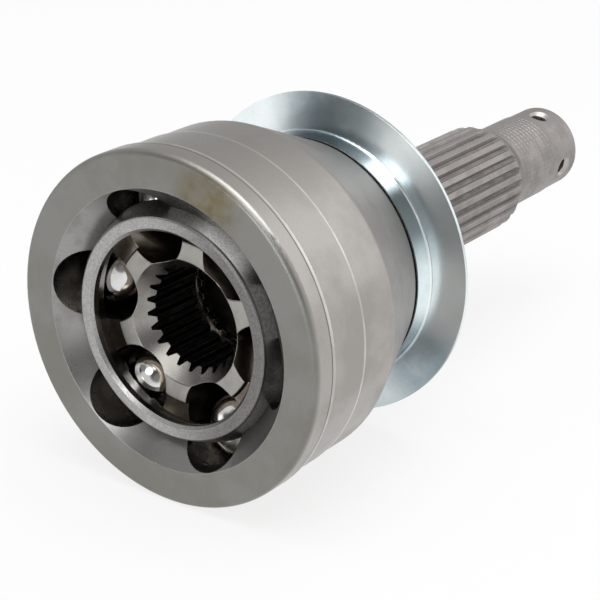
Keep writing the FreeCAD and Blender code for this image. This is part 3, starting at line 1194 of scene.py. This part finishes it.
@dataclass
class Studio:
    """The floor, the tent, the lamp and the camera.

    Attributes:
        cards: Bright and dark cards round the object.
        tent_for_metal: The tent's white as shiny surfaces see it.
        tent_for_paper: The tent's white as dull surfaces see it.
        tent_darkest: The least light that the tent gives where dark cards overlap.
        floor_size: Half the floor's side, in metres.
        floor_white: The floor paper's colour.
        floor_glow: Share of the floor that shows as plain white.
        lamp_power: Power of the overhead lamp, in watts.
        lamp_size: Its side, in metres.
        lamp_place: Its place.
        lens: The camera's focal length, in mm.
        sensor: The width of its sensor, in mm.
        eye: The camera's place.
        ahead: The camera's direction.
        right: The direction of its right side.
    """

    cards: tuple[Card, ...] = (
        Card(55, 24, 8, 34, 0.6),
        Card(20, 76, 10, 34, 0.96),
        Card(-76, 39, 7, 14, 3.4),
        Card(-101, 3, 8, 15, 4.2),
        Card(122, 26, 14, 40, -0.24),
        Card(-123, 16, 10, 24, -0.64),
        Card(-143, 5, 7, 16, 0.72),
        Card(-35, 5, 10, 40, 0.24),
        Card(-46, 24, 13, 26, -0.72),
        Card(-110, 41, 7, 17, -0.5),
    )
    tent_for_metal: float = 0.76
    tent_for_paper: float = 0.6
    tent_darkest: float = 0.02
    floor_size: float = 6.0
    floor_white: Colour = (0.9, 0.9, 0.9)
    floor_glow: float = 0.8
    lamp_power: float = 9.0
    lamp_size: float = 1.1
    lamp_place: Place = (0.25, -0.1, 1.1)
    lens: float = 114.0
    sensor: float = 36.0
    eye: Place = (0.2404, -0.3414, 0.1588)
    ahead: Place = (-0.545, 0.748, -0.3795)
    right: Place = (0.808, 0.589, 0.0)

    def floor(self) -> None:
        """Lays a wide pale floor under the joint's lowest point."""
        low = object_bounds()[0]
        bm = bmesh.new()
        bmesh.ops.create_grid(bm, x_segments=1, y_segments=1, size=self.floor_size)
        bmesh.ops.translate(bm, verts=bm.verts[:], vec=(0.0, 0.0, low.z))
        mesh = bpy.data.meshes.new("floor")
        bm.to_mesh(mesh)
        bm.free()
        plane = bpy.data.objects.new("floor", mesh)
        bpy.context.scene.collection.objects.link(plane)
        plane.data.materials.append(self.floor_material())
        plane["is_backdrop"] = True

    def floor_material(self) -> bpy.types.Material:
        """Makes the floor: white paper that keeps the object's shadow.

        Returns:
            The material.
        """
        material = bpy.data.materials.new("white_floor")
        material.use_nodes = True
        tree = material.node_tree
        wiring = Wiring(tree)
        tree.nodes.remove(tree.nodes["Principled BSDF"])
        paper = tree.nodes.new("ShaderNodeBsdfDiffuse")
        wiring.feed(paper.inputs["Color"], self.floor_white)
        white = tree.nodes.new("ShaderNodeEmission")
        white.inputs["Strength"].default_value = 1.0
        mix = tree.nodes.new("ShaderNodeMixShader")
        glow = wiring.number("MULTIPLY", self.seen_ray(wiring), self.floor_glow)
        wiring.feed(mix.inputs["Fac"], glow)
        wiring.feed(mix.inputs[1], paper.outputs[0])
        wiring.feed(mix.inputs[2], white.outputs[0])
        wiring.feed(tree.nodes["Material Output"].inputs["Surface"], mix.outputs[0])
        return material

    @staticmethod
    def seen_ray(wiring: Wiring) -> Socket:
        """Is 1 for rays from the camera, off metal and through glass.

        Args:
            wiring: The nodes to add to.

        Returns:
            That number.
        """
        path = wiring.tree.nodes.new("ShaderNodeLightPath").outputs
        seen = wiring.number("MAXIMUM", path["Is Camera Ray"], path["Is Glossy Ray"])
        return wiring.number("MAXIMUM", seen, path["Is Transmission Ray"])

    def tent(self) -> None:
        """Hangs a white tent round the object, with its cards for the metal to see."""
        world = bpy.data.worlds.new("tent")
        bpy.context.scene.world = world
        world.use_nodes = True
        tree = world.node_tree
        tree.nodes.clear()
        wiring = Wiring(tree)
        ways = tree.nodes.new("ShaderNodeTexCoord").outputs["Generated"]
        total: Socket | float = self.tent_for_metal
        for card in self.cards:
            total = wiring.number("ADD", card.wire(wiring, ways), total)
        for_metal = wiring.number("MAXIMUM", total, self.tent_darkest)
        path = tree.nodes.new("ShaderNodeLightPath").outputs
        unseen = wiring.blend(path["Is Glossy Ray"], self.tent_for_paper, for_metal)
        strength = wiring.blend(path["Is Camera Ray"], unseen, 1.0)
        back = tree.nodes.new("ShaderNodeBackground")
        back.inputs["Color"].default_value = (1.0, 1.0, 1.0, 1.0)
        wiring.feed(back.inputs["Strength"], strength)
        out = tree.nodes.new("ShaderNodeOutputWorld")
        wiring.feed(out.inputs["Surface"], back.outputs[0])

    def lamp(self) -> None:
        """Hangs one soft lamp over the object, which casts its shadow."""
        light = bpy.data.lights.new("soft_box", "AREA")
        light.shape = "SQUARE"
        light.size = self.lamp_size
        light.energy = self.lamp_power
        lamp = bpy.data.objects.new("soft_box", light)
        lamp.location = self.lamp_place
        lamp.rotation_mode = "QUATERNION"
        lamp.rotation_quaternion = (-Vector(self.lamp_place)).to_track_quat("-Z", "Y")
        bpy.context.scene.collection.objects.link(lamp)

    def camera(self) -> None:
        """Sets up the camera, in front of the bell and to its right."""
        data = bpy.data.cameras.new("camera")
        data.lens = self.lens
        data.sensor_width = self.sensor
        camera = bpy.data.objects.new("camera", data)
        ahead = Vector(self.ahead).normalized()
        right = Vector(self.right).normalized()
        up = right.cross(ahead)
        turn = Matrix((right, up, -ahead)).transposed().to_4x4()
        camera.matrix_world = Matrix.Translation(Vector(self.eye)) @ turn
        bpy.context.scene.collection.objects.link(camera)
        bpy.context.scene.camera = camera

    def build(self) -> None:
        """Sets up the whole studio."""
        self.floor()
        self.tent()
        self.lamp()
        self.camera()
        bpy.context.scene.view_settings.view_transform = "Standard"


def main() -> None:
    """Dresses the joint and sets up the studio."""
    logging.basicConfig(level=logging.INFO, format="%(name)s: %(message)s")
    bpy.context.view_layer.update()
    for part in (Forging(), Shield(), Cage(), InnerRace(), Balls()):
        part.build()
    Studio().build()


if __name__ == "__main__":
    main()
